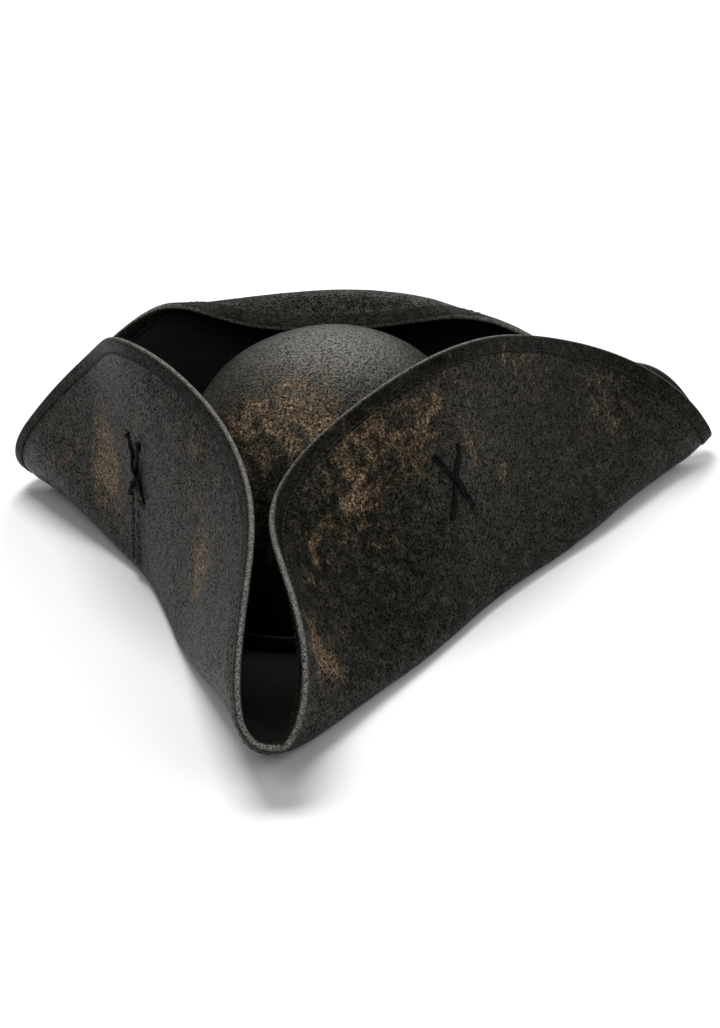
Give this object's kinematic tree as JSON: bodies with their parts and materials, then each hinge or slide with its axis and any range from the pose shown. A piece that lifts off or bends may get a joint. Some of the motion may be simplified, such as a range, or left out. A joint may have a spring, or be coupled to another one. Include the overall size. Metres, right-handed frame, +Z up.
{
  "type": "tricorne hat",
  "caption": "Black distressed faux-leather tricorne hat: domed crown, brim turned up in three laced flaps with a bound edge.",
  "frame": {"origin": "centre of the head opening, in the plane that the hat stands on", "axes": "+Z up through the crown, -Y towards the front corner, +X towards the wearer's left"},
  "size_m": [0.3886, 0.3815, 0.1363],
  "materials": {
    "distressed_leather": "satin",
    "binding_leather": "satin",
    "sweatband_leather": "satin",
    "stiff_felt": "matte",
    "felt_lining": "matte",
    "black_lining": "matte",
    "thread": "satin",
    "lacing_cord": "satin",
    "steel_wire": "brushed"
  },
  "bodies": {
    "root": {"crown_cover": "distressed_leather", "crown_stiffener": "stiff_felt", "crown_lining": "black_lining", "sweatband": "sweatband_leather", "sweatband_thread": "thread", "crown_seam_tape": "black_lining", "crown_seam_thread": "thread", "brim_cover": "distressed_leather", "brim_stiffener": "stiff_felt", "brim_lining": "felt_lining", "brim_edge_binding": "binding_leather", "brim_edge_wire": "steel_wire", "binding_thread_outer": "thread", "binding_thread_inner": "thread", "lacing_right": "lacing_cord", "lacing_left": "lacing_cord", "lacing_back": "lacing_cord"}
  },
  "joints": []
}
